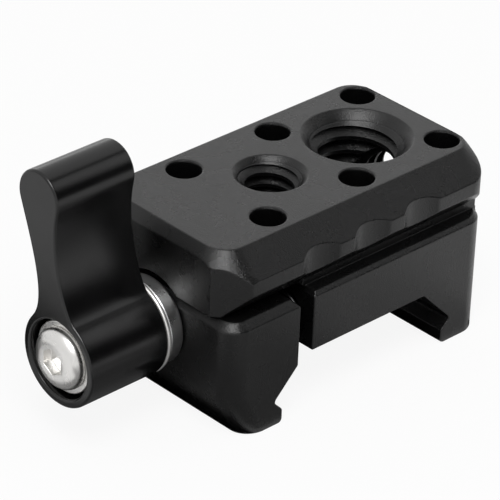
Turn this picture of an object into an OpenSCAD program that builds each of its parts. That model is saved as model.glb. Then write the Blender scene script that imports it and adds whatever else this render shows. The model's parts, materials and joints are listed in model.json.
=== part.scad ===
// Quick-release clamp for a 21.2 mm accessory rail, with a ratchet lever.
// Millimetres. X runs along the lever's axis with the lever at -X, and the rail runs along Y.
// The origin is the middle of the rail seat, the flat that the rail's top lies under.

/* [Block] */
// Width of the block across the long sides
block_w = 22.4; // [21.6:0.2:26]
// Rail centre to the block's far end
far_end = 16; // [15.6:0.2:19]
// Rail centre to the plate's lever end
lever_end = 19.2; // [18.8:0.2:21]
// Radius of the block's upright corners
corner_r = 2.5; // [1.6:0.1:3]

/* [Top plate] */
// Height of the plate's top above the rail seat
top_h = 13.4; // [13:0.1:16]
// Width of the flat top face
top_w = 17.2; // [16.6:0.1:18]
// Radius of the top face's corners
top_corner_r = 2.4; // [1.8:0.1:2.8]
// Bevel along the plate's lever end
end_bevel = 1; // [0.5:0.1:1.4]
// Flat cut off the plate's upright corners at the lever end, along its length
facet_x = 2.5; // [2:0.1:3.2]
// The same flat, across the plate
facet_y = 3.2; // [2.8:0.1:3.8]
// Height of the upright band on the long sides
side_band = 1.5; // [1:0.1:2]
// How far the plate's underside slopes in from its long sides
groove_d = 2.4; // [2:0.1:2.6]
// Depth of the ledge on top of the lower block, up to the neck
ledge_d = 1.75; // [1.4:0.05:1.9]
// Height of the lower block's ledge above the rail seat
ledge_h = 6.5; // [6.2:0.1:6.8]
// Bevel on the lower block's top edges
ledge_bevel = 0.43; // [0.2:0.01:0.6]

/* [Grip scallops] */
// Scallops on each long side
scallop_count = 3; // [1:1:3]
// Distance between scallops
scallop_pitch = 6.85; // [5.6:0.05:7]
// Length of a scallop
scallop_len = 5; // [3:0.1:5.4]
// Depth of a scallop
scallop_d = 0.65; // [0.3:0.05:0.8]
// First scallop's start, from the rail centre towards the lever
scallop_start = 9.95; // [9:0.05:11]

/* [Holes in the top] */
// Spacing of the small holes along X and Y
hole_pitch = 12; // [11:0.1:12.4]
// Radius of the small holes
small_r = 1.75; // [1.2:0.05:2]
// Depth of the small holes
small_depth = 5; // [3:0.5:5]
// Widening of the small holes' mouths
small_mouth = 0.15; // [0.1:0.05:0.3]
// Rail centre to the middle row of small holes
hole_mid_x = 2; // [1:0.1:3]
// Major radius of the 1/4 inch thread
quarter_r = 3.175; // [2.9:0.005:3.3]
// Depth of the 1/4 inch thread
quarter_depth = 6; // [5:0.1:6.2]
// Major radius of the 3/8 inch thread
three_eighth_r = 4.7625; // [4.6:0.0005:4.9]
// Depth of the 3/8 inch thread
three_eighth_depth = 9.8; // [9:0.1:10]
// Widening of the 1/4 inch hole's mouth
quarter_mouth = 0.58; // [0.2:0.01:0.8]
// Widening of the 3/8 inch hole's mouth
three_eighth_mouth = 0.95; // [0.3:0.01:1.1]
// Depth of the end hole's axis under the top face
end_hole_drop = 6.4; // [6:0.1:6.6]

/* [Rail channel] */
// Rail centre to the corner where the seat meets the fixed jaw
seat_half = 7.3; // [7:0.1:7.6]
// Depth of the fixed jaw's V
v_depth = 3.9; // [3.5:0.1:4]
// Height of the V's blunt root
v_root = 0.35; // [0.2:0.05:0.6]
// Hook of each jaw under the rail
hook = 1; // [0.8:0.05:1.2]
// Rail seat to the jaws' feet
foot_drop = 6.75; // [6.6:0.05:7.6]
// Rounding of the hooks' lower edges
hook_round = 0.5; // [0.3:0.05:0.6]
// Rounding of the far end's lower edge
heel_round = 1; // [0.5:0.1:1.5]

/* [Moving jaw] */
// Rail centre to the split face of the fixed block
split_face = 8.3; // [8:0.1:8.6]
// Gap between the moving jaw and the fixed block, as drawn
split_gap = 1.8; // [1.7:0.1:2.2]
// Gap between the moving jaw and the plate above it
slide_gap = 0.15; // [0.1:0.05:0.3]
// Depth of the moving jaw's V
jaw_v_depth = 2.9; // [2.6:0.1:3]
// Bevel on the moving jaw's top edges
jaw_bevel = 0.8; // [0.4:0.1:1]
// Radius of the moving jaw's upright corners
jaw_corner_r = 2.2; // [1.6:0.1:2.6]
// How far the jaw's outer face leans in at its foot
jaw_lean = 2.3; // [1.5:0.1:2.6]

/* [Lever] */
// Height of the lever's axis above the rail seat
axis_h = 2.9; // [2.8:0.1:3.1]
// Length of the lever along its axis
lever_w = 9.7; // [9.4:0.1:12]
// Radius of the hub
hub_r = 5; // [4.9:0.1:5.6]
// Radius of the bore in the hub
hub_bore_r = 4.1; // [4:0.05:4.3]
// Hub axis to the centre of the handle's tip
handle_len = 16.4; // [14:0.1:20]
// Sideways lean of the handle's tip
handle_lean = 3; // [2.5:0.1:3.5]
// Radius of the handle's tip
tip_r = 2.8; // [2.4:0.05:3]
// Where the handle's near flank leaves the hub, in degrees
near_start = 117; // [110:1:126]
// Where the handle's far flank leaves the hub, in degrees
far_start = 39; // [34:1:48]
// Roundness of the near flank's foot
near_pull = 1.6; // [1.2:0.1:2.4]
// Roundness of the far flank's foot
far_pull = 3.4; // [2.4:0.1:3.8]

/* [Ratchet] */
// Teeth of the spline between stud and insert
spline_teeth = 16; // [10:1:20]
// Outer radius of the stud's spline
spline_r = 3.4; // [3.2:0.05:3.5]
// Depth of a spline tooth
spline_tooth = 0.45; // [0.3:0.05:0.5]
// Gap between the two splines
spline_gap = 0.1; // [0.08:0.01:0.12]
// Length of the stud's spline
spline_len = 1.7; // [1.2:0.1:1.8]
// Radius of the insert's flange
flange_r = 5; // [4.8:0.1:5.4]
// Thickness of the insert's flange
flange_t = 0.5; // [0.4:0.1:0.8]
// Length of the insert in the hub
insert_len = 4.4; // [3.8:0.1:4.6]

/* [Stud] */
// Major radius of the stud's thread
stud_r = 2.5; // [2.2:0.05:2.5]
// Radius of the collar that bears on the jaw
collar_r = 4.65; // [4.2:0.05:4.8]
// Length of the collar
collar_len = 1.9; // [1.5:0.1:2.5]
// Bevel on the collar's edges and half of the bevel on the stud's tip
stud_bevel = 0.25; // [0.15:0.05:0.4]
// Radius of the post inside the hub
post_r = 2.6; // [2.4:0.05:2.65]
// Thread left in the block beyond the stud's tip, as drawn
stud_reserve = 2.7; // [2.2:0.1:3]
// Threaded length in the block
stud_hole = 10.4; // [9:0.1:10.4]

/* [Lever screw] */
// Radius of the button head
head_r = 3.2; // [2.8:0.1:3.4]
// Height of the button head
head_h = 1.4; // [1:0.1:1.8]
// Upright rim under the head's dome
head_rim = 0.2; // [0.1:0.05:0.3]
// Major radius of the screw's thread
screw_r = 1.5; // [1.2:0.05:1.6]
// Thread below the washer
screw_len = 6; // [4:0.5:7]
// Width across flats of the hexagon socket
hex_af = 2.5; // [1.5:0.1:2.6]
// Radius of the washer
washer_r = 3.8; // [3.6:0.05:3.85]
// Thickness of the washer
washer_t = 0.6; // [0.4:0.1:0.8]
// Bevel round the washer
washer_bevel = 0.12; // [0.06:0.02:0.2]
// Washer face to the hub's front face
washer_inset = 0.7; // [0.4:0.1:1]

/* [Springs and pins] */
// Radius of the guide pins
pin_r = 1.5; // [1.2:0.05:1.6]
// Distance of each guide pin from the lever's axis
pin_offset = 7; // [6.6:0.1:7.4]
// Guide pin standing in the moving jaw, as drawn
pin_in_jaw = 5; // [4:0.1:5.2]
// Guide pin held in the block, beyond the spring pocket
pin_hold = 4; // [3:0.5:5]
// Room past each pin's end in the moving jaw
pin_room = 0.4; // [0.2:0.1:0.6]
// Depth of the spring pocket round each pin
pocket_depth = 4; // [3.5:0.1:4.5]
// Radius of the spring pocket
pocket_r = 2.4; // [2.3:0.05:2.5]
// Wire of the jaw springs
jaw_wire = 0.5; // [0.4:0.05:0.5]
// Wire of the lever spring
lever_wire = 0.55; // [0.4:0.05:0.6]
// Running gap of pins, stud and post
run_gap = 0.05; // [0.03:0.01:0.08]
// Play between the lever spring and its post
spring_play = 0.2; // [0.1:0.05:0.3]
// Gap between parts that are fixed in each other
fixed_gap = 0.01; // [0.01:0.01:0.03]
// Gap round the collar where it enters the plate's end
collar_gap = 0.3; // [0.25:0.05:0.4]
// Room past the collar when the jaw is fully closed
collar_room = 0.1; // [0.05:0.05:0.3]

/* [Hidden] */
$fn = 64;
// Overshoot of a cutter past the face that it opens
over = 1;
// Small step that keeps two cuts from ending in one plane
step_off = 0.05;
half_w = block_w / 2;
side_bevel = (block_w - top_w) / 2;
band_low = top_h - side_bevel - side_band;
jaw_face = split_face + split_gap;
jaw_top = ledge_h;
plate_low = jaw_top + slide_gap;
root_y = half_w - groove_d;
neck_y = half_w - ledge_d;
// The hooks reach in from the V's root by the same amount on both jaws
v_apex = seat_half + v_depth;
jaw_apex = jaw_face + jaw_v_depth;
root_low = v_depth + v_root;
hook_top = root_low + hook;
jaw_shoulder = v_depth - jaw_v_depth;
// Stack along the lever's axis, each as a place on X
collar_x = -lever_end - collar_len;
hub_x = collar_x - flange_t;
hub_front = hub_x - lever_w;
insert_x = hub_x - insert_len;
washer_face = hub_front + washer_inset;
post_x = washer_face + washer_t;
stud_tip = -split_face + stud_hole - stud_reserve;
steel = [0.75, 0.75, 0.76];
dark_steel = [0.42, 0.42, 0.43];
black_anodised = [0.16, 0.16, 0.17];

// Points of an arc in degrees, counted from its first end
function arc(c, r, a0, a1, n = 12, first = 0) =
    [for (i = [first:n]) let (a = a0 + (a1 - a0) * i / n) c + r * [cos(a), sin(a)]];

// Direction of clockwise travel at an angle on a circle
function clockwise(a) = [sin(a), -cos(a)];

// Inner points of a smooth curve from angle a1 on one circle to angle a2 on another
function flank(c1, r1, a1, pull1, c2, r2, a2, pull2, n = 16) =
    let (p = c1 + r1 * [cos(a1), sin(a1)], q = c2 + r2 * [cos(a2), sin(a2)],
        u = p + clockwise(a1) * pull1, v = q - clockwise(a2) * pull2)
    [for (i = [1:n - 1]) let (t = i / n, k = 1 - t)
        p * k * k * k + 3 * u * k * k * t + 3 * v * k * t * t + q * t * t * t];

// Stands a part that was drawn along +Z on the lever's axis, pointing to +X
module on_axis(x = 0, y = 0) {
    translate([x, y, axis_h])
        rotate([0, 90, 0])
            children();
}

// An outline in X and Z, drawn through the full width
module across(width) {
    translate([0, width / 2, 0])
        rotate([90, 0, 0])
            linear_extrude(width)
                children();
}

// An outline in Y and Z, drawn from x0 to x1
module along(x0, x1) {
    translate([x0, 0, 0])
        rotate([90, 0, 90])
            linear_extrude(x1 - x0)
                children();
}

// Upright block from x0 to x1 with round corners
module round_block(x0, x1, half, r, z0, z1) {
    translate([x0, -half + r, z0])
        cube([x1 - x0, 2 * (half - r), z1 - z0]);
    translate([x0 + r, -half, z0])
        cube([x1 - x0 - 2 * r, 2 * half, z1 - z0]);
    for (x = [x0 + r, x1 - r], y = [-half + r, half - r])
        translate([x, y, z0])
            cylinder(h = z1 - z0, r = r);
}

// The same block widening downwards at 45 degrees from its top outline
module sloped_block(x0, x1, half, r, z_top, depth) {
    translate([0, 0, z_top]) {
        across(2 * (half - r))
            polygon([[x0, 0], [x1, 0], [x1 + depth, -depth], [x0 - depth, -depth]]);
        along(x0 + r, x1 - r)
            polygon([[-half, 0], [half, 0], [half + depth, -depth], [-half - depth, -depth]]);
        for (x = [x0 + r, x1 - r], y = [-half + r, half - r])
            translate([x, y, -depth])
                cylinder(h = depth, r1 = r + depth, r2 = r);
    }
}

// One scallop seen from above: a steep round start and a long run out
module scallop_outline() {
    lead = scallop_len * 0.36;
    lead_r = (lead * lead + scallop_d * scallop_d) / (2 * scallop_d);
    tail = scallop_len - lead;
    tail_r = (tail * tail + scallop_d * scallop_d) / (2 * scallop_d);
    polygon(concat(
        [[0, -over]],
        arc([lead, scallop_d - lead_r], lead_r, 180 - acos(lead / lead_r), 90, 8),
        arc([lead, scallop_d - tail_r], tail_r, 90, acos(tail / tail_r), 10, 1),
        [[scallop_len, -over]]
    ));
}

// Both rows of scallops, cut in from the long sides
module scallops() {
    for (side = [-1, 1], i = [0:scallop_count - 1])
        translate([-scallop_start + i * scallop_pitch, side * half_w, plate_low])
            mirror([0, side > 0 ? 1 : 0, 0])
                linear_extrude(top_h)
                    scallop_outline();
}

// Threaded hole from the top face, with a coned mouth and a drilled bottom
module top_hole(x, y, r, depth, mouth) {
    drill_r = r * 0.8;
    tip = drill_r * 0.6;
    translate([x, y, top_h]) {
        translate([0, 0, -depth])
            cylinder(h = depth + over, r = r);
        translate([0, 0, -depth - tip])
            cylinder(h = tip, r1 = 0, r2 = drill_r);
        translate([0, 0, -mouth])
            cylinder(h = mouth, r1 = r, r2 = r + mouth);
    }
}

// The flats across the plate's two upright corners at the lever end
module corner_flats() {
    start = [-lever_end, half_w - facet_y];
    run = [facet_x, facet_y];
    for (side = [0, 1])
        mirror([0, side, 0])
            translate([0, 0, ledge_h])
                linear_extrude(top_h)
                    polygon([start - run, start + 2 * run, [start[0] - facet_x, half_w + facet_y]]);
}

// The groove under one long side. Its upper face slopes in to the plate's underside above the jaw.
// Over the lower block it ends at the neck, above a flat ledge.
module side_groove() {
    slope = (band_low - plate_low) / groove_d;
    along(-lever_end - over, far_end + over)
        polygon([
            [half_w + over, band_low + over * slope],
            [neck_y, band_low - ledge_d * slope],
            [neck_y, ledge_h],
            [half_w + over, ledge_h]
        ]);
    along(-lever_end - over, -split_face)
        polygon([
            [half_w + over, band_low + over * slope],
            [root_y - over, plate_low - over * slope],
            [half_w + over, plate_low - over * slope]
        ]);
}

// Outline of the fixed block from the side: seat, V and hook
module fixed_outline() {
    polygon(concat(
        [[-split_face, ledge_h - ledge_bevel], [-split_face, 0], [seat_half, 0], [v_apex, -v_depth],
            [v_apex, -root_low]],
        [[v_apex - hook, -hook_top]],
        arc([v_apex - hook + hook_round, -foot_drop + hook_round], hook_round, 180, 270, 6),
        arc([far_end - heel_round, -foot_drop + heel_round], heel_round, 270, 360, 8),
        [[far_end, ledge_h], [-split_face + ledge_bevel, ledge_h]]
    ));
}

module clamp_body() {
    color(black_anodised)
    difference() {
        union() {
            intersection() {
                round_block(-lever_end, far_end, half_w, corner_r, ledge_h, top_h);
                sloped_block(-lever_end + end_bevel, far_end + step_off, top_w / 2, top_corner_r, top_h,
                    top_h - ledge_h);
            }
            intersection() {
                across(block_w + 2 * over)
                    fixed_outline();
                union() {
                    round_block(-lever_end, far_end, half_w, corner_r, -foot_drop, ledge_h - ledge_bevel);
                    sloped_block(-lever_end + ledge_bevel, far_end - ledge_bevel, half_w - ledge_bevel,
                        corner_r - ledge_bevel, ledge_h, ledge_bevel);
                    translate([-lever_end, -neck_y, ledge_h - over])
                        cube([lever_end + far_end, 2 * neck_y, over]);
                }
            }
        }
        side_groove();
        mirror([0, 1, 0])
            side_groove();
        scallops();
        corner_flats();
        translate([-lever_end - over, -half_w - over, ledge_h - over])
            cube([lever_end - split_face + over, block_w + 2 * over, plate_low - ledge_h + over]);
        for (i = [-1, 0, 1], side = [-1, 1])
            top_hole(hole_mid_x + i * hole_pitch, side * hole_pitch / 2, small_r, small_depth,
                small_mouth);
        top_hole(hole_mid_x - hole_pitch / 2, 0, quarter_r, quarter_depth, quarter_mouth);
        top_hole(hole_mid_x + hole_pitch / 2, 0, three_eighth_r, three_eighth_depth, three_eighth_mouth);
        end_hole();
        on_axis(-split_face)
            translate([0, 0, -over])
                cylinder(h = stud_hole + over, r = stud_r + run_gap);
        for (side = [-1, 1])
            on_axis(-split_face, side * pin_offset) {
                translate([0, 0, -over])
                    cylinder(h = pocket_depth + over, r = pocket_r);
                cylinder(h = pocket_depth + pin_hold, r = pin_r + fixed_gap);
            }
        on_axis(-lever_end)
            translate([0, 0, -over])
                cylinder(h = split_gap + collar_room + over, r = collar_r + collar_gap);
    }
}

// The 1/4 inch thread in the far end, which opens into the 3/8 inch hole
module end_hole() {
    start = hole_mid_x + hole_pitch / 2;
    translate([start, 0, top_h - end_hole_drop])
        rotate([0, 90, 0]) {
            cylinder(h = far_end - start + over, r = quarter_r);
            translate([0, 0, far_end - start - quarter_mouth])
                cylinder(h = quarter_mouth, r1 = quarter_r, r2 = quarter_r + quarter_mouth);
        }
}

// Outline of the moving jaw's inner side: slit face, V and hook
module jaw_outline() {
    polygon(concat(
        [[-lever_end - over, jaw_top + over], [-lever_end - over, -foot_drop]],
        arc([-jaw_apex + hook - hook_round, -foot_drop + hook_round], hook_round, 270, 360, 6),
        [[-jaw_apex + hook, -hook_top]],
        [[-jaw_apex, -root_low], [-jaw_apex, -v_depth], [-jaw_face, -jaw_shoulder]],
        [[-jaw_face, jaw_top - jaw_bevel], [-jaw_face - jaw_bevel - over, jaw_top + over]]
    ));
}

// The jaw's round corners, upright above and leaning with the outer face below
module jaw_corners() {
    lean_start = -jaw_shoulder - jaw_lean / 2;
    lean_angle = atan(jaw_lean / (foot_drop + lean_start));
    run = lever_end;
    intersection() {
        union() {
            round_block(-lever_end, run, half_w, jaw_corner_r, -foot_drop - over, jaw_top - jaw_bevel);
            sloped_block(-lever_end + jaw_bevel, run, half_w - jaw_bevel, jaw_corner_r - jaw_bevel, jaw_top,
                jaw_bevel);
        }
        translate([-lever_end, 0, lean_start])
            rotate([0, -lean_angle, 0])
                round_block(0, 2 * run, half_w, jaw_corner_r, -2 * foot_drop, 2 * foot_drop);
    }
}

module moving_jaw() {
    color(black_anodised)
    difference() {
        intersection() {
            across(block_w + 2 * over)
                jaw_outline();
            jaw_corners();
        }
        on_axis(-lever_end - over)
            cylinder(h = lever_end + over, r = stud_r + run_gap);
        for (side = [-1, 1])
            on_axis(-jaw_face, side * pin_offset)
                translate([0, 0, -pin_in_jaw - split_gap - pin_room])
                    cylinder(h = lever_end, r = pin_r + run_gap);
    }
}

// Outline of the lever seen along +X, Y across and Z up from the hub's axis.
// Both flanks leave the hub along its circle and run into the round tip without a kink.
module lever_outline() {
    tip = [handle_lean, handle_len];
    near_tip = 193;
    far_tip = -20;
    polygon(concat(
        arc([0, 0], hub_r, far_start, near_start - 360, 56),
        flank([0, 0], hub_r, near_start, near_pull, tip, tip_r, near_tip, handle_len * 0.28),
        arc(tip, tip_r, near_tip, far_tip, 28),
        flank(tip, tip_r, far_tip, handle_len * 0.28, [0, 0], hub_r, far_start, far_pull)
    ));
}

module lever() {
    color(black_anodised)
    difference() {
        translate([hub_front, 0, axis_h])
            rotate([90, 0, 90])
                linear_extrude(lever_w)
                    lever_outline();
        on_axis(hub_front - over)
            cylinder(h = lever_w + 2 * over, r = hub_bore_r);
    }
}

// Star outline of a spline: flat-topped teeth between two radii
module spline_outline(r, tooth) {
    step = 360 / spline_teeth;
    polygon([for (i = [0:spline_teeth - 1], k = [-0.34, -0.16, 0.16, 0.34])
        let (a = (i + k) * step, q = abs(k) < 0.2 ? r : r - tooth) q * [cos(a), sin(a)]]);
}

module spline_insert() {
    color(steel)
    difference() {
        union() {
            on_axis(insert_x)
                cylinder(h = insert_len + over / 4, r = hub_bore_r - fixed_gap);
            on_axis(hub_x)
                cylinder(h = flange_t, r = flange_r);
        }
        on_axis(insert_x - over)
            cylinder(h = insert_len + 2 * over, r = post_r + run_gap);
        on_axis(collar_x - spline_len - spline_gap)
            linear_extrude(spline_len + over)
                spline_outline(spline_r + spline_gap, spline_tooth);
    }
}

module clamp_stud() {
    bevel = stud_bevel;
    color(dark_steel)
    difference() {
        union() {
            on_axis()
                rotate_extrude()
                    polygon([
                        [0, post_x], [post_r, post_x], [post_r, collar_x],
                        [collar_r - bevel, collar_x], [collar_r, collar_x + bevel],
                        [collar_r, -lever_end - bevel], [collar_r - bevel, -lever_end],
                        [stud_r, -lever_end], [stud_r, stud_tip - 2 * bevel], [stud_r - 2 * bevel, stud_tip],
                        [0, stud_tip]
                    ]);
            on_axis(collar_x - spline_len)
                linear_extrude(spline_len + over / 4)
                    spline_outline(spline_r, spline_tooth);
        }
        on_axis(post_x - over)
            cylinder(h = screw_len + over, r = screw_r + fixed_gap);
    }
}

// Points from the rim of a button head up its dome
function dome(r0, z0, r1, z1, n) =
    [for (i = [0:n]) let (a = 90 * i / n) [r1 + (r0 - r1) * cos(a), z0 + (z1 - z0) * sin(a)]];

module lever_screw() {
    crown = head_r * 0.56;
    color(steel)
    difference() {
        on_axis(washer_face)
            rotate([180, 0, 0])
                rotate_extrude()
                    polygon(concat(
                        [[0, 0], [head_r, 0]],
                        dome(head_r, head_rim, crown, head_h, 8),
                        [[0, head_h]]
                    ));
        on_axis(washer_face - head_h - over)
            cylinder(h = over + head_h * 0.7, r = hex_af / 2 / cos(30), $fn = 6);
    }
    color(steel)
        on_axis(washer_face - head_rim)
            cylinder(h = screw_len + head_rim, r = screw_r);
}

module screw_washer() {
    bevel = washer_bevel;
    color(steel)
        on_axis(washer_face)
            rotate_extrude()
                polygon([
                    [screw_r + run_gap, 0], [washer_r - bevel, 0], [washer_r, bevel],
                    [washer_r, washer_t], [screw_r + run_gap, washer_t]
                ]);
}

// Closed-end coil spring along +Z: the end turns lie flat and the middle ones climb
module coil(mean_r, wire, length, turns) {
    per_turn = 22;
    rings = per_turn * turns;
    sides = 6;
    dead = 0.8;
    climb = length - wire;
    points = [for (i = [0:rings], j = [0:sides - 1])
        let (t = i / per_turn, u = min(max(t - dead / 2, 0), turns - dead) / (turns - dead),
            a = 360 * t, b = 360 * j / sides, q = mean_r + wire / 2 * cos(b))
        [q * cos(a), q * sin(a), wire / 2 + climb * u + wire / 2 * sin(b)]];
    faces = concat(
        [[for (j = [0:sides - 1]) j]],
        [for (i = [0:rings - 1], j = [0:sides - 1])
            let (k = (j + 1) % sides, a = i * sides, b = a + sides) [a + k, a + j, b + j, b + k]],
        [[for (j = [sides - 1:-1:0]) rings * sides + j]]
    );
    polyhedron(points, faces);
}

module lever_spring() {
    room = insert_x - post_x;
    color(steel)
        on_axis(post_x)
            coil(post_r + spring_play + lever_wire / 2, lever_wire, room, 3);
}

module guide_pin(side) {
    color(steel)
        on_axis(-jaw_face - pin_in_jaw, side * pin_offset)
            cylinder(h = pin_in_jaw + split_gap + pocket_depth + pin_hold, r = pin_r);
}

module jaw_spring(side) {
    color(steel)
        on_axis(-jaw_face, side * pin_offset)
            coil(pin_r + spring_play / 2 + jaw_wire / 2, jaw_wire, split_gap + pocket_depth, 5);
}

module guide_pin_front() {
    guide_pin(-1);
}

module guide_pin_rear() {
    guide_pin(1);
}

module jaw_spring_front() {
    jaw_spring(-1);
}

module jaw_spring_rear() {
    jaw_spring(1);
}

clamp_body();
moving_jaw();
lever();
spline_insert();
clamp_stud();
lever_screw();
screw_washer();
lever_spring();
guide_pin_front();
guide_pin_rear();
jaw_spring_front();
jaw_spring_rear();
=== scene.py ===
# %% [markdown]
# # A rail clamp with a ratchet lever
# The real object is a black anodised block, 35 mm long, that grips an accessory rail between a
# fixed jaw and a sliding one. A stud pulls the sliding jaw in, and a ratchet lever turns the stud.
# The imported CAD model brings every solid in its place, in metres. This script only dresses it:
# rounded edges, cut threads, drawn springs, finishes, light and the camera.

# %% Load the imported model
import json
import math
from functools import partial

import bmesh
import bpy
from mathutils import Matrix, Vector

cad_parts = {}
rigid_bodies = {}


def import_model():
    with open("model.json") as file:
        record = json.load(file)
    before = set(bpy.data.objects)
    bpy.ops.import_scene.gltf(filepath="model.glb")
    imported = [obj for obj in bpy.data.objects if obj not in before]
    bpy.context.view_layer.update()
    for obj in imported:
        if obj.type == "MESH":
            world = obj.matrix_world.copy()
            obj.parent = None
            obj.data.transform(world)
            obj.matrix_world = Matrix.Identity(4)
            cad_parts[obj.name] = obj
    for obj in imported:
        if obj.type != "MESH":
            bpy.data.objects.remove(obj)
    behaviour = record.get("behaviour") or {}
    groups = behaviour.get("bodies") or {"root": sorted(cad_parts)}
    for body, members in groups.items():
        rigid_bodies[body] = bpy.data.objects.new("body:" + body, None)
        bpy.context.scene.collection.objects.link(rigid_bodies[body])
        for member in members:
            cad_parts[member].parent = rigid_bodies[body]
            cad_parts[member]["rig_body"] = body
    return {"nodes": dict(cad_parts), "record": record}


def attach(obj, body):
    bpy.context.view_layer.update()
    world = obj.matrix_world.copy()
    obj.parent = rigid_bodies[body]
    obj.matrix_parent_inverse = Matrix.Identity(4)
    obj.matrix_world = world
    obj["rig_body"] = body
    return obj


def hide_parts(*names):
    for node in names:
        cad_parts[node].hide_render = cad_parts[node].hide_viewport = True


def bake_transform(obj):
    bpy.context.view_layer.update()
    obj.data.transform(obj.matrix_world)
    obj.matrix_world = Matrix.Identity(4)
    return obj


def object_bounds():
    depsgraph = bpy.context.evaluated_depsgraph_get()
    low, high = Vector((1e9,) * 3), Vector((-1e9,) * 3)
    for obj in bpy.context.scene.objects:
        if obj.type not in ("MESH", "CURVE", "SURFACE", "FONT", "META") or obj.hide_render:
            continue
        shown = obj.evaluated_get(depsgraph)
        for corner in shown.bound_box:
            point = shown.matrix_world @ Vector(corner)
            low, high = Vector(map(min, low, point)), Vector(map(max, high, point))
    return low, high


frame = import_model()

MM = 0.001
QUARTER_TURN = math.radians(90)
cad_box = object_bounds()
print("solids:", ", ".join(sorted(frame["nodes"])))

# %% [markdown]
# ## The camera
# The photograph was taken with a long lens from the lever's side, so upright edges stay nearly
# parallel. Its place was worked out from the grid of small holes. A long focal length and a
# distance of about 35 cm give the same slight perspective here, and the roll is the tilt of the
# hand-set camera.

# %% Set the camera
CAMERA_PLACE = Vector((-209.037, -207.073, 177.856)) * MM
CAMERA_AIM = Vector((0.6011682, 0.6142236, -0.5112008))
CAMERA_ROLL = math.radians(2.318)
FOCAL_MM = 245.58
SENSOR_MM = 36


def set_camera():
    lens = bpy.data.cameras.new("camera")
    lens.sensor_width = SENSOR_MM
    lens.lens = FOCAL_MM
    lens.clip_start = 0.01
    lens.clip_end = 20
    camera = bpy.data.objects.new("camera", lens)
    camera.location = CAMERA_PLACE
    turn = CAMERA_AIM.to_track_quat("-Z", "Y") @ Matrix.Rotation(CAMERA_ROLL, 4, "Z").to_quaternion()
    camera.rotation_euler = turn.to_euler()
    bpy.context.scene.collection.objects.link(camera)
    bpy.context.scene.camera = camera
    bpy.context.scene.view_settings.view_transform = "Standard"
    print("camera up:", [round(v, 4) for v in camera.rotation_euler.to_matrix().col[1]])


set_camera()

# %% [markdown]
# ## Helpers for the finishes
# Every finish is a Principled shader with three things. Its roughness varies a little from place
# to place, its normal is disturbed by a fine grain, and its edges are painted lighter: partly wear,
# because handling wears a coating there first, and partly a painted highlight, the thin line of
# light that an edge catches. The patterns read Object coordinates, so their scale counts grains
# per metre and they stay fixed to the metal when a part moves.

# %% Make the shader helpers


def material(name, base, roughness, metallic=0.0):
    m = bpy.data.materials.new(name)
    m.use_nodes = True
    shader = m.node_tree.nodes["Principled BSDF"]
    shader.inputs["Base Color"].default_value = (*base, 1)
    shader.inputs["Roughness"].default_value = roughness
    shader.inputs["Metallic"].default_value = metallic
    return m, m.node_tree, shader


def noise(tree, per_metre, detail=3.0, stretch=(1, 1, 1)):
    place = tree.nodes.new("ShaderNodeTexCoord")
    turn = tree.nodes.new("ShaderNodeMapping")
    turn.inputs["Scale"].default_value = stretch
    grain = tree.nodes.new("ShaderNodeTexNoise")
    grain.inputs["Scale"].default_value = per_metre
    grain.inputs["Detail"].default_value = detail
    tree.links.new(place.outputs["Object"], turn.inputs["Vector"])
    tree.links.new(turn.outputs["Vector"], grain.inputs["Vector"])
    return grain.outputs["Fac"]


def spread(tree, value, low, high, start=0.3, end=0.7):
    span = tree.nodes.new("ShaderNodeMapRange")
    span.inputs["From Min"].default_value = start
    span.inputs["From Max"].default_value = end
    span.inputs["To Min"].default_value = low
    span.inputs["To Max"].default_value = high
    tree.links.new(value, span.inputs["Value"])
    return span.outputs["Result"]


def calculate(tree, operation, first, second):
    node = tree.nodes.new("ShaderNodeMath")
    node.operation = operation
    for socket, value in zip(node.inputs, (first, second)):
        if isinstance(value, (int, float)):
            socket.default_value = value
        else:
            tree.links.new(value, socket)
    return node.outputs[0]


print("helpers:", ", ".join(f.__name__ for f in (material, noise, spread, calculate)))

# %% [markdown]
# Three more helpers put a pattern to use. The first lets the roughness wander, the second turns a
# grain into a disturbed normal, and the third finds edges by comparing the true normal with a
# rounded one: where the two differ, an edge is near, and there the colour is painted lighter,
# partly as wear and partly as a painted highlight.

# %% Make the surface helpers
BEVEL_SAMPLES = 4
EDGE_AT = 0.9
FLAT_AT = 0.995


def vary_roughness(tree, shader, per_metre, low, high):
    clouds = noise(tree, per_metre, detail=4)
    tree.links.new(spread(tree, clouds, low, high), shader.inputs["Roughness"])


def bump(tree, shader, height, strength, distance):
    node = tree.nodes.new("ShaderNodeBump")
    node.inputs["Strength"].default_value = strength
    node.inputs["Distance"].default_value = distance
    tree.links.new(height, node.inputs["Height"])
    tree.links.new(node.outputs["Normal"], shader.inputs["Normal"])


# Paints edges lighter: partly wear of the coat, partly a painted highlight along the edge.
def edge_wear_and_highlight(tree, shader, base, worn_and_lit, width):
    rounded = tree.nodes.new("ShaderNodeBevel")
    rounded.samples = BEVEL_SAMPLES
    rounded.inputs["Radius"].default_value = width
    here = tree.nodes.new("ShaderNodeNewGeometry")
    compare = tree.nodes.new("ShaderNodeVectorMath")
    compare.operation = "DOT_PRODUCT"
    tree.links.new(rounded.outputs["Normal"], compare.inputs[0])
    tree.links.new(here.outputs["Normal"], compare.inputs[1])
    amount = spread(tree, compare.outputs["Value"], 1.0, 0.0, EDGE_AT, FLAT_AT)
    mix = tree.nodes.new("ShaderNodeMix")
    mix.data_type = "RGBA"
    mix.inputs["A"].default_value = (*base, 1)
    mix.inputs["B"].default_value = (*worn_and_lit, 1)
    tree.links.new(amount, mix.inputs["Factor"])
    tree.links.new(mix.outputs["Result"], shader.inputs["Base Color"])


print("edges count as worn below a likeness of", FLAT_AT)

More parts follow.
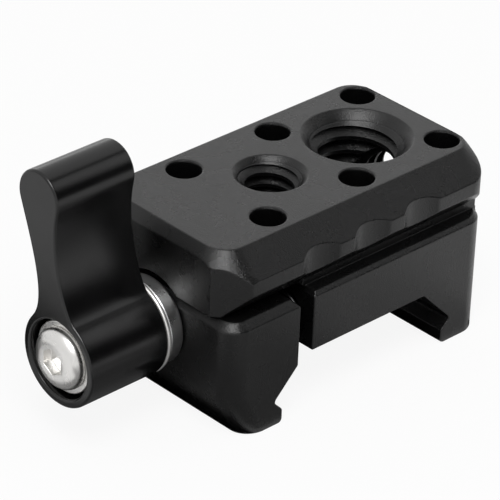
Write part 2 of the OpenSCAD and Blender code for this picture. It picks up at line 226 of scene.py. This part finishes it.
# %% [markdown]
# ## Black anodising
# The block and the jaw are bead blasted before they are dyed black, so they carry an even grain
# about a tenth of a millimetre wide. The dye absorbs nearly everything, and what the eye sees is
# the clear oxide's reflection. So the base colour is almost black and the normal grain does the
# work: it sparkles where a corner faces the edge of a lamp. Faint upright tool streaks lie under
# the grain. The lever is polished first, so its coat is much smoother and shows bands of light.

# %% Build the black finishes
BLACK = (0.0022, 0.0022, 0.0023)
# Lighter edge colours: partly wear of the coat, partly a painted highlight along the edge.
WORN_AND_LIT_BLACK = (0.02, 0.02, 0.021)
WORN_AND_LIT_GLOSS = (0.05, 0.05, 0.05)
UPRIGHT = (1, 0.05, 0.05)
STREAK_SHARE = 0.25


def blasted_black():
    m, tree, shader = material("blasted_black_anodising", BLACK, 0.27)
    vary_roughness(tree, shader, 260, 0.25, 0.3)
    grain = noise(tree, 8200, detail=2)
    streaks = noise(tree, 5200, detail=2, stretch=UPRIGHT)
    height = calculate(tree, "ADD", calculate(tree, "MULTIPLY", streaks, STREAK_SHARE), grain)
    bump(tree, shader, height, strength=0.8, distance=0.05 * MM)
    # The lighter edges are partly wear and partly a painted highlight.
    edge_wear_and_highlight(tree, shader, BLACK, WORN_AND_LIT_BLACK, width=0.12 * MM)
    return m


def smooth_black():
    m, tree, shader = material("smooth_black_anodising", BLACK, 0.24)
    vary_roughness(tree, shader, 320, 0.21, 0.27)
    bump(tree, shader, noise(tree, 7000, detail=2), strength=0.12, distance=0.03 * MM)
    # The lighter edges on the lever are partly wear and partly a painted highlight.
    edge_wear_and_highlight(tree, shader, BLACK, WORN_AND_LIT_GLOSS, width=0.14 * MM)
    return m


BLASTED = blasted_black()
SMOOTH = smooth_black()
print("black finishes:", BLASTED.name, SMOOTH.name)

# %% [markdown]
# ## Steel
# The screw and its washer are turned and polished, the insert's rim is coarser, and the stud is
# darker steel with fine turning marks round it. The pins carry the same marks, and their steel is
# painted darker still, as painted shade for the dark slit they stand in. The springs are drawn
# wire, painted dark as the shade they sit in. Steel has no clear coat: its colour is the colour of
# its reflection, so the metallic value is 1.

# %% Build the steel finishes
EVEN = (1, 1, 1)
TURNED = (8, 1, 1)
COARSELY_TURNED = (6, 1, 1)
LIGHTEST = 0.95


def steel(name, tone, roughness, grain, depth, marks=EVEN, worn_and_lit=1.0):
    m, tree, shader = material(name, tone, sum(roughness) / 2, 1.0)
    vary_roughness(tree, shader, 800, *roughness)
    bump(tree, shader, noise(tree, grain, stretch=marks), strength=depth, distance=0.04 * MM)
    # Edges painted lighter by this factor: partly wear, partly a painted highlight.
    edge_wear_and_highlight(tree, shader, tone, tuple(min(LIGHTEST, v * worn_and_lit) for v in tone), width=0.1 * MM)
    return m


FINISHES = {
    "black_anodised": BLASTED,
    "black_gloss_anodised": SMOOTH,
    "bright_steel": steel("bright_turned_steel", (0.82, 0.81, 0.79), (0.24, 0.34), 5200, 0.12),
    "satin_steel": steel("satin_steel", (0.6, 0.6, 0.6), (0.26, 0.38), 4200, 0.15, TURNED, 1.5),
    # The spring steel is painted dark as the shade inside the slit and the hub.
    "spring_steel": steel("drawn_spring_steel_painted_shade", (0.1, 0.1, 0.102), (0.3, 0.42), 8000, 0.1),
}
# The pin steel is painted dark as the shade inside the slit.
PIN_STEEL_PAINTED_DARK = steel("pin_steel_painted_shade", (0.05, 0.05, 0.05), (0.3, 0.4), 4200, 0.15, TURNED, 2)
COARSE_RIM = steel("coarse_turned_steel", (0.85, 0.84, 0.82), (0.4, 0.55), 3600, 0.2, COARSELY_TURNED)
SLOT_OF = {part["node"]: part["material_slot"] for part in frame["record"]["subparts"]}
print("finishes:", ", ".join(FINISHES))

# %% [markdown]
# ## Rounded edges
# No machined edge is perfectly sharp: a cutter or a deburring brush leaves a small round that
# catches the light as a thin line. The CAD solids have sharp edges, and their meshes are loose
# triangles. So each visible solid is copied, its doubled points are merged, flat areas are
# joined, and a Bevel modifier rounds the edges. An edge that borders a strip narrower than the
# round stays sharp, because its round would run past the strip and leave a spike.

# %% Choose the edges and copy a solid
SAME_POINT = 0.0002 * MM
SLIVER = 0.001 * MM
FLAT_ANGLE = math.radians(0.4)
EDGE_ANGLE = math.radians(28)


def add_object(name, mesh):
    obj = bpy.data.objects.new(name, mesh)
    bpy.context.scene.collection.objects.link(obj)
    return obj


def depth_behind(edge, face):
    start = edge.verts[0].co
    along = (edge.verts[1].co - start).normalized()
    return max((v.co - start - along * (v.co - start).dot(along)).length for v in face.verts)


def can_be_rounded(edge, room):
    if len(edge.link_faces) != 2 or edge.calc_face_angle(0) < EDGE_ANGLE:
        return False
    return min(depth_behind(edge, face) for face in edge.link_faces) > room


def merged_copy(node, name, room):
    bm = bmesh.new()
    bm.from_mesh(frame["nodes"][node].data)
    bmesh.ops.remove_doubles(bm, verts=bm.verts, dist=SAME_POINT)
    bmesh.ops.dissolve_degenerate(bm, dist=SLIVER, edges=bm.edges)
    bmesh.ops.dissolve_limit(bm, angle_limit=FLAT_ANGLE, verts=bm.verts, edges=bm.edges)
    weight = bm.edges.layers.float.new("bevel_weight_edge")
    for edge in bm.edges:
        edge[weight] = float(can_be_rounded(edge, room))
    mesh = bpy.data.meshes.new(name)
    bm.to_mesh(mesh)
    bm.free()
    return add_object(name, mesh)


print("edges sharper than", round(math.degrees(EDGE_ANGLE)), "degrees are rounded")

# %% [markdown]
# The Bevel modifier is baked into the copy, and then a Weighted Normal modifier keeps the flat
# faces looking flat beside their rounds. Each copy is dressed at once: it gets its finish, rides
# on its solid's body and stands for that solid. The insert's rim is turned more coarsely than the
# rest of the bright steel, which makes it shine evenly.

# %% Round the solids
SHARP_ANGLE = math.radians(50)
FLAT_FACE_WEIGHT = 80


def bake_modifiers(obj):
    bpy.context.view_layer.update()
    graph = bpy.context.evaluated_depsgraph_get()
    mesh = bpy.data.meshes.new_from_object(obj.evaluated_get(graph))
    mesh.name = obj.name
    obj.modifiers.clear()
    obj.data = mesh


def dress(obj, node):
    slot = SLOT_OF[node]
    obj.data.materials.clear()
    obj.data.materials.append(FINISHES[slot])
    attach(obj, frame["nodes"][node]["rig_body"])
    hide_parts(node)
    print(obj.name, "stands for", node, "with", len(obj.data.polygons), "faces")


def rounded_copy(node, name, width, segments=2, room=1.2):
    obj = merged_copy(node, name, room * width)
    bevel = obj.modifiers.new("rounded edges", "BEVEL")
    bevel.width = width
    bevel.segments = segments
    bevel.limit_method = "WEIGHT"
    bevel.use_clamp_overlap = False
    bevel.miter_outer = "MITER_ARC"
    bake_modifiers(obj)
    obj.data.polygons.foreach_set("use_smooth", [True] * len(obj.data.polygons))
    obj.data.set_sharp_from_angle(angle=SHARP_ANGLE)
    weigh = obj.modifiers.new("even shading", "WEIGHTED_NORMAL")
    weigh.weight = FLAT_FACE_WEIGHT
    weigh.keep_sharp = True
    bake_modifiers(obj)
    dress(obj, node)
    return obj


rounded_copy("clamp_body", "block_rounded", 0.12 * MM)
rounded_copy("moving_jaw", "jaw_rounded", 0.15 * MM)
rounded_copy("lever", "lever_rounded", 0.28 * MM, segments=3)
rounded_copy("lever_screw", "screw_rounded", 0.08 * MM)
rounded_copy("screw_washer", "washer_rounded", 0.05 * MM)
rounded_copy("clamp_stud", "stud_rounded", 0.12 * MM)
insert = rounded_copy("spline_insert", "insert_rounded", 0.22 * MM, segments=4, room=2.2)
insert.data.materials[0] = COARSE_RIM

# %% [markdown]
# ## Helpers for node trees
# What follows a rule is made by Geometry Nodes: one tree is built once and used with other sizes
# for each thread or spring. One helper starts a tree with named inputs, and another runs it with
# values for those inputs and keeps the result as a plain mesh.

# %% Make the node tree helpers
SMOOTH_BELOW = math.radians(35)


def new_tree(name, sizes):
    tree = bpy.data.node_groups.new(name, "GeometryNodeTree")
    for size in sizes:
        tree.interface.new_socket(size, in_out="INPUT", socket_type="NodeSocketFloat")
    tree.interface.new_socket("Finish", in_out="INPUT", socket_type="NodeSocketMaterial")
    tree.interface.new_socket("Mesh", in_out="OUTPUT", socket_type="NodeSocketGeometry")
    return tree, tree.nodes.new("NodeGroupInput").outputs


def add_node(tree, kind, inputs=None, **settings):
    node = tree.nodes.new(kind)
    for key, value in settings.items():
        setattr(node, key, value)
    for key, value in (inputs or {}).items():
        if isinstance(value, bpy.types.NodeSocket):
            tree.links.new(value, node.inputs[key])
        else:
            node.inputs[key].default_value = value
    return node


def moved(tree, shape, x=0.0, z=0.0, turn=(0, 0, 0)):
    way = add_node(tree, "ShaderNodeCombineXYZ", {"X": x, "Z": z})
    place = add_node(tree, "GeometryNodeTransform", {
        "Geometry": shape, "Translation": way.outputs[0], "Rotation": turn})
    return place.outputs[0]


def finish_tree(tree, mesh, finish):
    smooth = add_node(tree, "GeometryNodeSetShadeSmooth", {"Geometry": mesh})
    real = add_node(tree, "GeometryNodeRealizeInstances", {"Geometry": smooth.outputs[0]})
    coated = add_node(tree, "GeometryNodeSetMaterial", {"Geometry": real.outputs[0], "Material": finish})
    add_node(tree, "NodeGroupOutput", {"Mesh": coated.outputs[0]})
    print(tree.name, "tree:", len(tree.nodes), "nodes")


def run_tree(tree, name, values, finish, place):
    obj = add_object(name, bpy.data.meshes.new(name))
    modifier = obj.modifiers.new(name, "NODES")
    modifier.node_group = tree
    for item in tree.interface.items_tree:
        if item.in_out == "INPUT":
            modifier[item.identifier] = finish if item.name == "Finish" else float(values[item.name])
    bake_modifiers(obj)
    obj.data.transform(place)
    obj.data.set_sharp_from_angle(angle=SMOOTH_BELOW)
    print(name, "has", len(obj.data.polygons), "faces")
    return obj


print("threads and springs are smooth below", round(math.degrees(SMOOTH_BELOW)), "degrees")

# %% [markdown]
# ## Cut threads
# A tap leaves a helical ridge on the wall of a hole. The CAD bores are plain cylinders at the
# thread's outer radius, so the ridge is added here. A trapezoid with 60 degree flanks is swept
# along a spiral, and two cutters then shape its ends as on the real block: the countersink's cone
# trims the first turn, and the crossing hole cuts the ridge away where the two bores meet. The
# hole's mouth is at the tree's zero and the hole runs down from it. The ridge's height, foot and
# crest are shares of the pitch, as in any 60 degree inch thread.

# %% Build the thread tree
THREAD_SIZES = ("Radius", "Pitch", "Depth", "Mouth", "Cross Radius", "Cross Depth", "Cross Start")
EMBED = 0.02 * MM
STEPS_PER_TURN = 56
RIDGE_HEIGHT = 0.5413
RIDGE_FOOT = 0.875
RIDGE_CREST = 0.25
CUTTER_SIDES = 96
CUTTER_SPARE = 1 * MM
CROSS_LENGTH = 12 * MM


def sweep_ridge(tree, size):
    do = partial(calculate, tree)
    wall = do("ADD", size["Radius"], EMBED)
    spiral = add_node(tree, "GeometryNodeCurveSpiral", {
        "Resolution": STEPS_PER_TURN, "Rotations": do("DIVIDE", size["Depth"], size["Pitch"]),
        "Start Radius": wall, "End Radius": wall, "Height": size["Depth"], "Reverse": True})
    upright = add_node(tree, "GeometryNodeSetCurveNormal", {"Curve": spiral.outputs[0]}, mode="Z_UP")
    height = do("MULTIPLY", size["Pitch"], RIDGE_HEIGHT)
    profile = add_node(tree, "GeometryNodeCurvePrimitiveQuadrilateral", {
        "Bottom Width": do("MULTIPLY", size["Pitch"], RIDGE_FOOT),
        "Top Width": do("MULTIPLY", size["Pitch"], RIDGE_CREST),
        "Height": height, "Offset": 0.0}, mode="TRAPEZOID")
    inward = moved(tree, profile.outputs[0], x=do("MULTIPLY", height, -0.5), turn=(0, 0, QUARTER_TURN))
    ridge = add_node(tree, "GeometryNodeCurveToMesh", {
        "Curve": upright.outputs[0], "Profile Curve": inward, "Fill Caps": True})
    return moved(tree, ridge.outputs[0], z=do("MULTIPLY", size["Depth"], -1.0))


def countersink_cutter(tree, size):
    do = partial(calculate, tree)
    reach = do("ADD", size["Mouth"], CUTTER_SPARE)
    cone = add_node(tree, "GeometryNodeMeshCone", {
        "Vertices": CUTTER_SIDES, "Radius Bottom": 0.0, "Radius Top": reach, "Depth": reach})
    return moved(tree, cone.outputs[0], z=do("MULTIPLY", size["Mouth"], -1.0))


def crossing_cutter(tree, size):
    do = partial(calculate, tree)
    bore = add_node(tree, "GeometryNodeMeshCylinder", {
        "Vertices": CUTTER_SIDES, "Radius": size["Cross Radius"], "Depth": CROSS_LENGTH})
    return moved(tree, bore.outputs[0], x=do("ADD", size["Cross Start"], CROSS_LENGTH / 2),
                 z=do("MULTIPLY", size["Cross Depth"], -1.0), turn=(0, QUARTER_TURN, 0))


def thread_tree():
    tree, size = new_tree("cut thread", THREAD_SIZES)
    cut = add_node(tree, "GeometryNodeMeshBoolean", {"Mesh 1": sweep_ridge(tree, size)},
                   operation="DIFFERENCE", solver="EXACT")
    tree.links.new(countersink_cutter(tree, size), cut.inputs["Mesh 2"])
    tree.links.new(crossing_cutter(tree, size), cut.inputs["Mesh 2"])
    finish_tree(tree, cut.outputs[0], size["Finish"])
    return tree


THREADS = thread_tree()

# %% [markdown]
# ## The three threads
# The small hole and the hole in the far end are both 1/4 inch with 20 turns to the inch, and the
# large one is 3/8 inch with 16. The end hole opens into the large one 6.4 mm below the top.

# %% Cut the threads
TOP_Z = 13.4 * MM
SMALL_HOLE_X = -4 * MM
LARGE_HOLE_X = 8 * MM
END_X = 16 * MM
END_HOLE_DEPTH = 6.4 * MM
QUARTER = {"Radius": 3.175 * MM, "Pitch": 1.27 * MM, "Mouth": 3.755 * MM}
THREE_EIGHTHS = {"Radius": 4.7625 * MM, "Pitch": 1.5875 * MM, "Mouth": 5.7125 * MM}
NO_CROSSING = {"Cross Radius": MM, "Cross Depth": 50 * MM, "Cross Start": 0}
INTO_END_HOLE = {"Cross Radius": QUARTER["Radius"], "Cross Depth": END_HOLE_DEPTH, "Cross Start": 0}
INTO_LARGE_HOLE = {"Cross Radius": THREE_EIGHTHS["Radius"], "Cross Depth": END_X - LARGE_HOLE_X,
                   "Cross Start": -6 * MM}
DOWN_SMALL_HOLE = Matrix.Translation((SMALL_HOLE_X, 0, TOP_Z))
DOWN_LARGE_HOLE = Matrix.Translation((LARGE_HOLE_X, 0, TOP_Z))
INTO_END = Matrix.Translation((END_X, 0, TOP_Z - END_HOLE_DEPTH)) @ Matrix.Rotation(QUARTER_TURN, 4, "Y")


def cut_thread(name, sizes, depth, crossing, place):
    values = {**sizes, **crossing, "Depth": depth}
    ridge = run_tree(THREADS, name, values, FINISHES["black_anodised"], place)
    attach(ridge, "block")


cut_thread("quarter_thread", QUARTER, 5.5 * MM, NO_CROSSING, DOWN_SMALL_HOLE)
cut_thread("three_eighths_thread", THREE_EIGHTHS, 9.0 * MM, INTO_END_HOLE, DOWN_LARGE_HOLE)
cut_thread("end_thread", QUARTER, 5.4 * MM, INTO_LARGE_HOLE, INTO_END)

# %% [markdown]
# ## Coil springs
# Two springs round the guide pins push the jaw open, and one round the post holds the lever on
# its spline. Each is wire wound on a helix whose end turns lie flat, so it stands square. The
# tree sweeps a circle along a spiral, and a Map Range keeps the height still over the end turns.

# %% Build the spring tree
SPRING_SIZES = ("Mean Radius", "Wire", "Length", "Turns", "Flat Turns")
COIL_STEPS = 40
WIRE_SIDES = 14


def spring_tree():
    tree, size = new_tree("coil spring", SPRING_SIZES)
    do = partial(calculate, tree)
    spiral = add_node(tree, "GeometryNodeCurveSpiral", {
        "Resolution": COIL_STEPS, "Rotations": size["Turns"], "Start Radius": size["Mean Radius"],
        "End Radius": size["Mean Radius"], "Height": 0.0, "Reverse": True})
    half_wire = do("DIVIDE", size["Wire"], 2.0)
    start = do("DIVIDE", do("DIVIDE", size["Flat Turns"], 2.0), size["Turns"])
    way = add_node(tree, "GeometryNodeSplineParameter")
    climb = add_node(tree, "ShaderNodeMapRange", {
        "Value": way.outputs["Factor"], "From Min": start, "From Max": do("SUBTRACT", 1.0, start),
        "To Min": half_wire, "To Max": do("SUBTRACT", size["Length"], half_wire)})
    lift = add_node(tree, "ShaderNodeCombineXYZ", {"Z": climb.outputs["Result"]})
    wound = add_node(tree, "GeometryNodeSetPosition", {
        "Geometry": spiral.outputs[0], "Offset": lift.outputs[0]})
    section = add_node(tree, "GeometryNodeCurvePrimitiveCircle", {
        "Resolution": WIRE_SIDES, "Radius": half_wire})
    wire = add_node(tree, "GeometryNodeCurveToMesh", {
        "Curve": wound.outputs[0], "Profile Curve": section.outputs[0], "Fill Caps": True})
    finish_tree(tree, wire.outputs[0], size["Finish"])
    return tree


SPRINGS = spring_tree()

# %% [markdown]
# One end of a spring stands on one body and the other end on the next. Here each spring is
# wound once at its rest length in place of the CAD spring, which is hidden; it rides on no body
# and is not pressed together as its joint slides.

# %% Wind the springs
AXIS_Z = 2.9
PIN_Y = 7
JAW_SPRING = {"Mean Radius": 1.85 * MM, "Wire": 0.5 * MM, "Length": 5.8 * MM, "Turns": 5, "Flat Turns": 0.8}
LEVER_SPRING = {"Mean Radius": 3.075 * MM, "Wire": 0.55 * MM, "Length": 4 * MM, "Turns": 3,
                "Flat Turns": 0.8}


def wind_spring(node, sizes, start):
    first = Vector(start) * MM
    place = Matrix.Translation(first) @ Matrix.Rotation(QUARTER_TURN, 4, "Y")
    coil = run_tree(SPRINGS, node + "_wound", sizes, FINISHES["spring_steel"], place)
    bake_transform(coil)
    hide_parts(node)


wind_spring("jaw_spring_front", JAW_SPRING, (-10.1, -PIN_Y, AXIS_Z))
wind_spring("jaw_spring_rear", JAW_SPRING, (-10.1, PIN_Y, AXIS_Z))
wind_spring("lever_spring", LEVER_SPRING, (-30, 0, AXIS_Z))

# %% [markdown]
# ## Finishes on the CAD solids
# The guide pins are plain turned rods, so they are shown as the CAD made them, with their steel
# painted dark as the shade inside the slit.
# The solids that a copy stands for get their finish too, so that no solid is left bare.

# %% Dress the CAD solids
for node, obj in frame["nodes"].items():
    for place in obj.material_slots:
        place.material = PIN_STEEL_PAINTED_DARK if node.startswith("guide_pin") else FINISHES[SLOT_OF[node]]
print("dressed solids:", len(frame["nodes"]))

# %% [markdown]
# ## The floor
# The photograph is a product shot on white. The floor is white where the camera meets it, and
# keeps a little of the object's shadow. Reflections see nearly all of the real floor, with its
# shadow, because a dark glossy face shows the ground beside it. From below the floor is clear, so
# the underside of the object can be looked at.

# %% Build the floor
FLOOR_Z = cad_box[0][2]
FLOOR_REACH = 3
FLOOR_GREY = (0.85, 0.85, 0.85)
FLOOR_IN_CAMERA = 0.9
FLOOR_IN_REFLECTIONS = 0.05


def white_where_seen(tree, in_camera=1.0, in_reflections=1.0):
    path = tree.nodes.new("ShaderNodeLightPath")
    total = calculate(tree, "MULTIPLY", path.outputs["Is Camera Ray"], in_camera)
    for ray in ("Is Glossy Ray", "Is Transmission Ray"):
        part = calculate(tree, "MULTIPLY", path.outputs[ray], in_reflections)
        total = calculate(tree, "ADD", total, part)
        total.node.use_clamp = True
    return total


def mixed_shaders(tree, share, first, second):
    return add_node(tree, "ShaderNodeMixShader", {0: share, 1: first.outputs[0], 2: second.outputs[0]})


def floor_material():
    m, tree, shader = material("white_sweep", FLOOR_GREY, 0.9)
    white = add_node(tree, "ShaderNodeEmission", {"Strength": 1.0})
    share = white_where_seen(tree, FLOOR_IN_CAMERA, FLOOR_IN_REFLECTIONS)
    top = mixed_shaders(tree, share, shader, white)
    side = tree.nodes.new("ShaderNodeNewGeometry")
    clear = tree.nodes.new("ShaderNodeBsdfTransparent")
    one_sided = mixed_shaders(tree, side.outputs["Backfacing"], top, clear)
    tree.links.new(one_sided.outputs[0], tree.nodes["Material Output"].inputs["Surface"])
    return m


def build_floor():
    bm = bmesh.new()
    bmesh.ops.create_grid(bm, x_segments=1, y_segments=1, size=FLOOR_REACH)
    bmesh.ops.translate(bm, verts=bm.verts, vec=(0, 0, FLOOR_Z))
    mesh = bpy.data.meshes.new("floor")
    bm.to_mesh(mesh)
    bm.free()
    mesh.materials.append(floor_material())
    add_object("floor", mesh)


build_floor()
print("floor at z =", round(FLOOR_Z / MM, 3), "mm")

# %% [markdown]
# ## The surroundings
# The world is white to the camera, nearly white in reflections, and a mild grey as a light, so it
# doesn't wash out the lamps.

# %% Build the world
AMBIENT_GREY = (0.9, 0.9, 0.9, 1)
AMBIENT_STRENGTH = 0.5
WORLD_IN_REFLECTIONS = 0.8


def build_world():
    world = bpy.data.worlds.new("studio")
    bpy.context.scene.world = world
    world.use_nodes = True
    tree = world.node_tree
    ambient = tree.nodes["Background"]
    ambient.inputs["Color"].default_value = AMBIENT_GREY
    ambient.inputs["Strength"].default_value = AMBIENT_STRENGTH
    path = tree.nodes.new("ShaderNodeLightPath")
    glow = calculate(tree, "MAXIMUM", path.outputs["Is Camera Ray"], WORLD_IN_REFLECTIONS)
    white = add_node(tree, "ShaderNodeBackground", {"Color": (1, 1, 1, 1), "Strength": glow})
    mix = mixed_shaders(tree, white_where_seen(tree), ambient, white)
    tree.links.new(mix.outputs[0], tree.nodes["World Output"].inputs["Surface"])


build_world()
print("world in reflections:", WORLD_IN_REFLECTIONS)

# %% [markdown]
# ## Lamps
# Soft boxes are large lamps, so the light has no hard edges. On the polished lever each box is a
# bright band. The box beside the camera is the bright one, which the blasted corner catches.

# %% Set the lamps
SOFT_BOXES = {
    "front_softbox": {"way": (0.6, -0.48, 0.64), "distance": 0.5, "size": (0.2, 0.3), "glow": 1.0},
    "camera_softbox": {"way": (-0.37, -0.35, 0.86), "distance": 0.7, "size": (0.35, 0.35), "glow": 7.5},
    "back_softbox": {"way": (0.55, 0.8, 0.2), "distance": 0.8, "size": (0.5, 0.14), "glow": 1.0},
}


def soft_lamp(name, way, distance, size, glow):
    lamp = bpy.data.lights.new(name, "AREA")
    lamp.shape = "RECTANGLE"
    lamp.size, lamp.size_y = size
    lamp.energy = glow * math.pi * size[0] * size[1]
    obj = bpy.data.objects.new(name, lamp)
    outward = Vector(way).normalized()
    obj.location = outward * distance
    obj.rotation_euler = (-outward).to_track_quat("-Z", "Y").to_euler()
    bpy.context.scene.collection.objects.link(obj)
    print(name, "at", [round(v, 2) for v in obj.location])


for name, values in SOFT_BOXES.items():
    soft_lamp(name, **values)

# %% [markdown]
# ## Cards
# A photographer sets black cards round a polished part to give it dark bands. The cards here are
# painted reflections: they are seen by reflections only, cast no shadow and take no light from the
# object. A band of black cards bends round the lever's axis and paints the lever's dark bands. Flat
# grey and black ones lie on the floor and paint the object's shadow on the floor into the
# reflections of its sides and ends, darkest under and beside it.

# %% Set the cards
CARD_LIFT = 0.2 * MM
# Painted reflection: a band of black cards, seen only in reflections, paints the lever's dark bands.
BAND_STEPS = 6
BAND_RADIUS = 0.56
BAND_ENDS = (-0.07, 1.12)
BAND_ARC = (97, 200)
# Painted shadow: these floor cards, seen only in reflections, paint the object's shadow on the floor,
# darkest under and beside it.
FLOOR_SHADOW_CARDS = {
    "under_card": ((-19.5, -11), (15.8, 11), 0.0),
    "hub_card": ((-38, -11.4), (-19.6, 14), 0.25),
    "end_card": ((-47, 14.1), (-19.6, 80), 0.0),
    "corner_card": ((-60, -24), (-9, -11.5), 0.28),
    "left_card": ((-60, -75), (-9, -24.1), 0.5),
    "front_card_near": ((-8.9, -60), (2, -11.5), 0.28),
    "side_card": ((2.1, -60), (18, -11.5), 0.55),
}


def set_card(name, corners, grey=0.01):
    mesh = bpy.data.meshes.new(name)
    mesh.from_pydata([Vector(c) for c in corners], [], [tuple(range(len(corners)))])
    obj = add_object(name, mesh)
    m, _, shader = material(name, (grey, grey, grey), 1.0)
    shader.inputs["Specular IOR Level"].default_value = 0
    mesh.materials.append(m)
    obj.visible_camera = False
    obj.visible_diffuse = False
    obj.visible_shadow = False
    obj.visible_transmission = False


def round_the_lever(step, x):
    angle = math.radians(BAND_ARC[0] + (BAND_ARC[1] - BAND_ARC[0]) * step / BAND_STEPS)
    return (x, BAND_RADIUS * math.cos(angle), BAND_RADIUS * math.sin(angle))


# Set the black cards that paint the lever's dark reflection bands.
near, far = BAND_ENDS
for step in range(BAND_STEPS):
    set_card(f"front_card_{step}", [round_the_lever(step, near), round_the_lever(step + 1, near),
                                    round_the_lever(step + 1, far), round_the_lever(step, far)])

# Lay the floor cards that paint the object's shadow into reflections.
for name, ((low_x, low_y), (high_x, high_y), grey) in FLOOR_SHADOW_CARDS.items():
    corners = [(low_x, low_y), (high_x, low_y), (high_x, high_y), (low_x, high_y)]
    set_card(name, [(x * MM, y * MM, FLOOR_Z + CARD_LIFT) for x, y in corners], grey)
print("cards:", BAND_STEPS, "round the lever and", len(FLOOR_SHADOW_CARDS), "on the floor")
